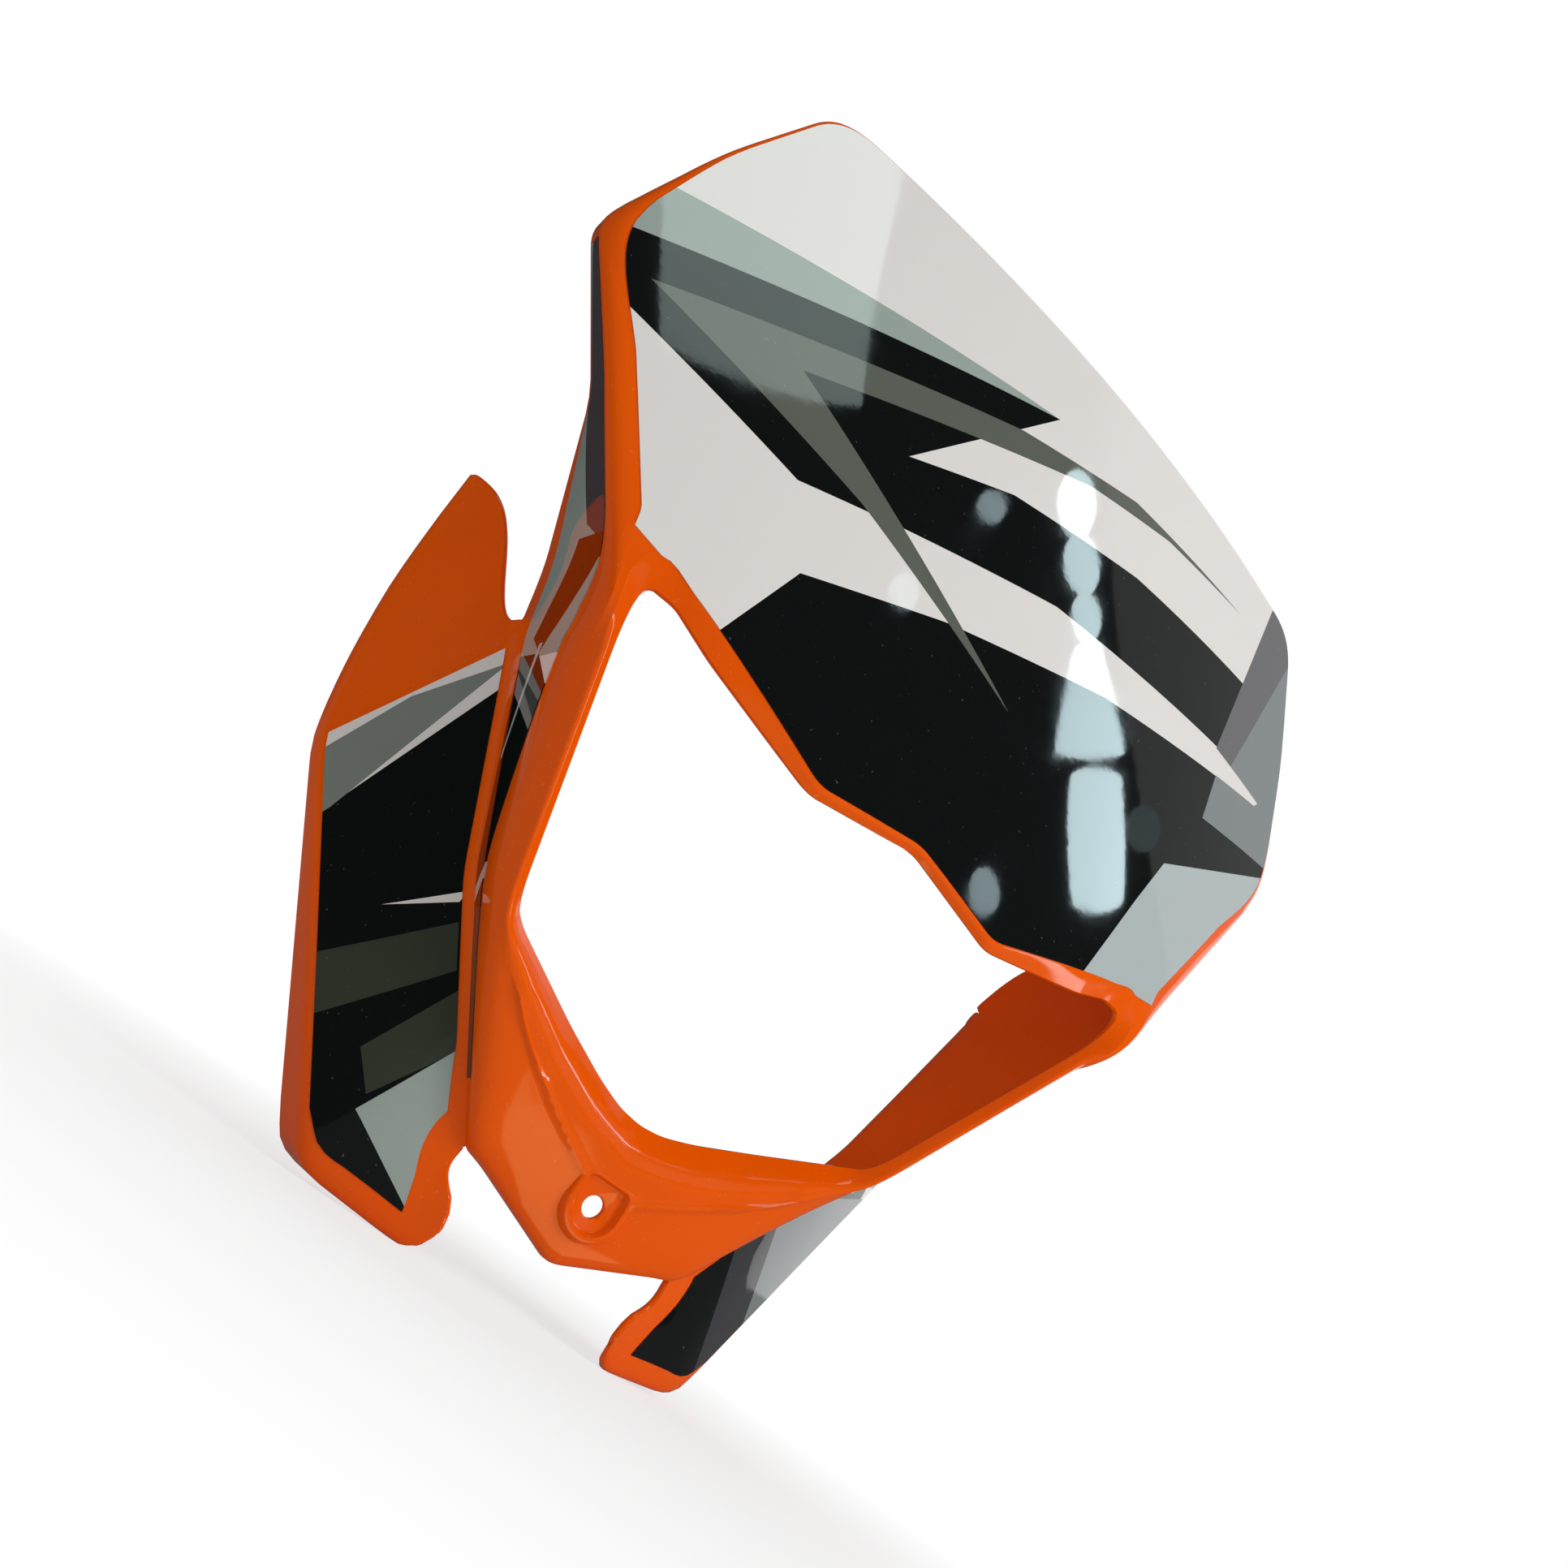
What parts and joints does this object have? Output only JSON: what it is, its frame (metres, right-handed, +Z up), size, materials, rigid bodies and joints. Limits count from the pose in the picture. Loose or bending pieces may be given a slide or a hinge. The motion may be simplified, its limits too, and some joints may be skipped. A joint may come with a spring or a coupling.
{
  "type": "motorcycle headlight fairing",
  "caption": "One-piece moulded headlight fairing with an upright plate, a lamp opening, side wings, a chin bolt hole and printed film",
  "frame": {"origin": "centre of the chin bolt hole, on the face of its seat", "axes": "+X towards the rider's left, -Y the way the plate faces, +Z up as mounted"},
  "size_m": [0.3466, 0.1188, 0.3675],
  "materials": {
    "shell": "gloss moulded orange",
    "plate_decal": "gloss printed film, white ground",
    "left_wing_decal": "gloss printed film, black ground",
    "right_wing_decal": "gloss printed film, black ground",
    "left_side_decal": "gloss printed film, dark grey ground",
    "right_side_decal": "gloss printed film, dark grey ground"
  },
  "bodies": {
    "root": {"shell": "shell", "plate_decal": "plate_decal", "left_wing_decal": "left_wing_decal", "right_wing_decal": "right_wing_decal", "left_side_decal": "left_side_decal", "right_side_decal": "right_side_decal"}
  },
  "joints": []
}
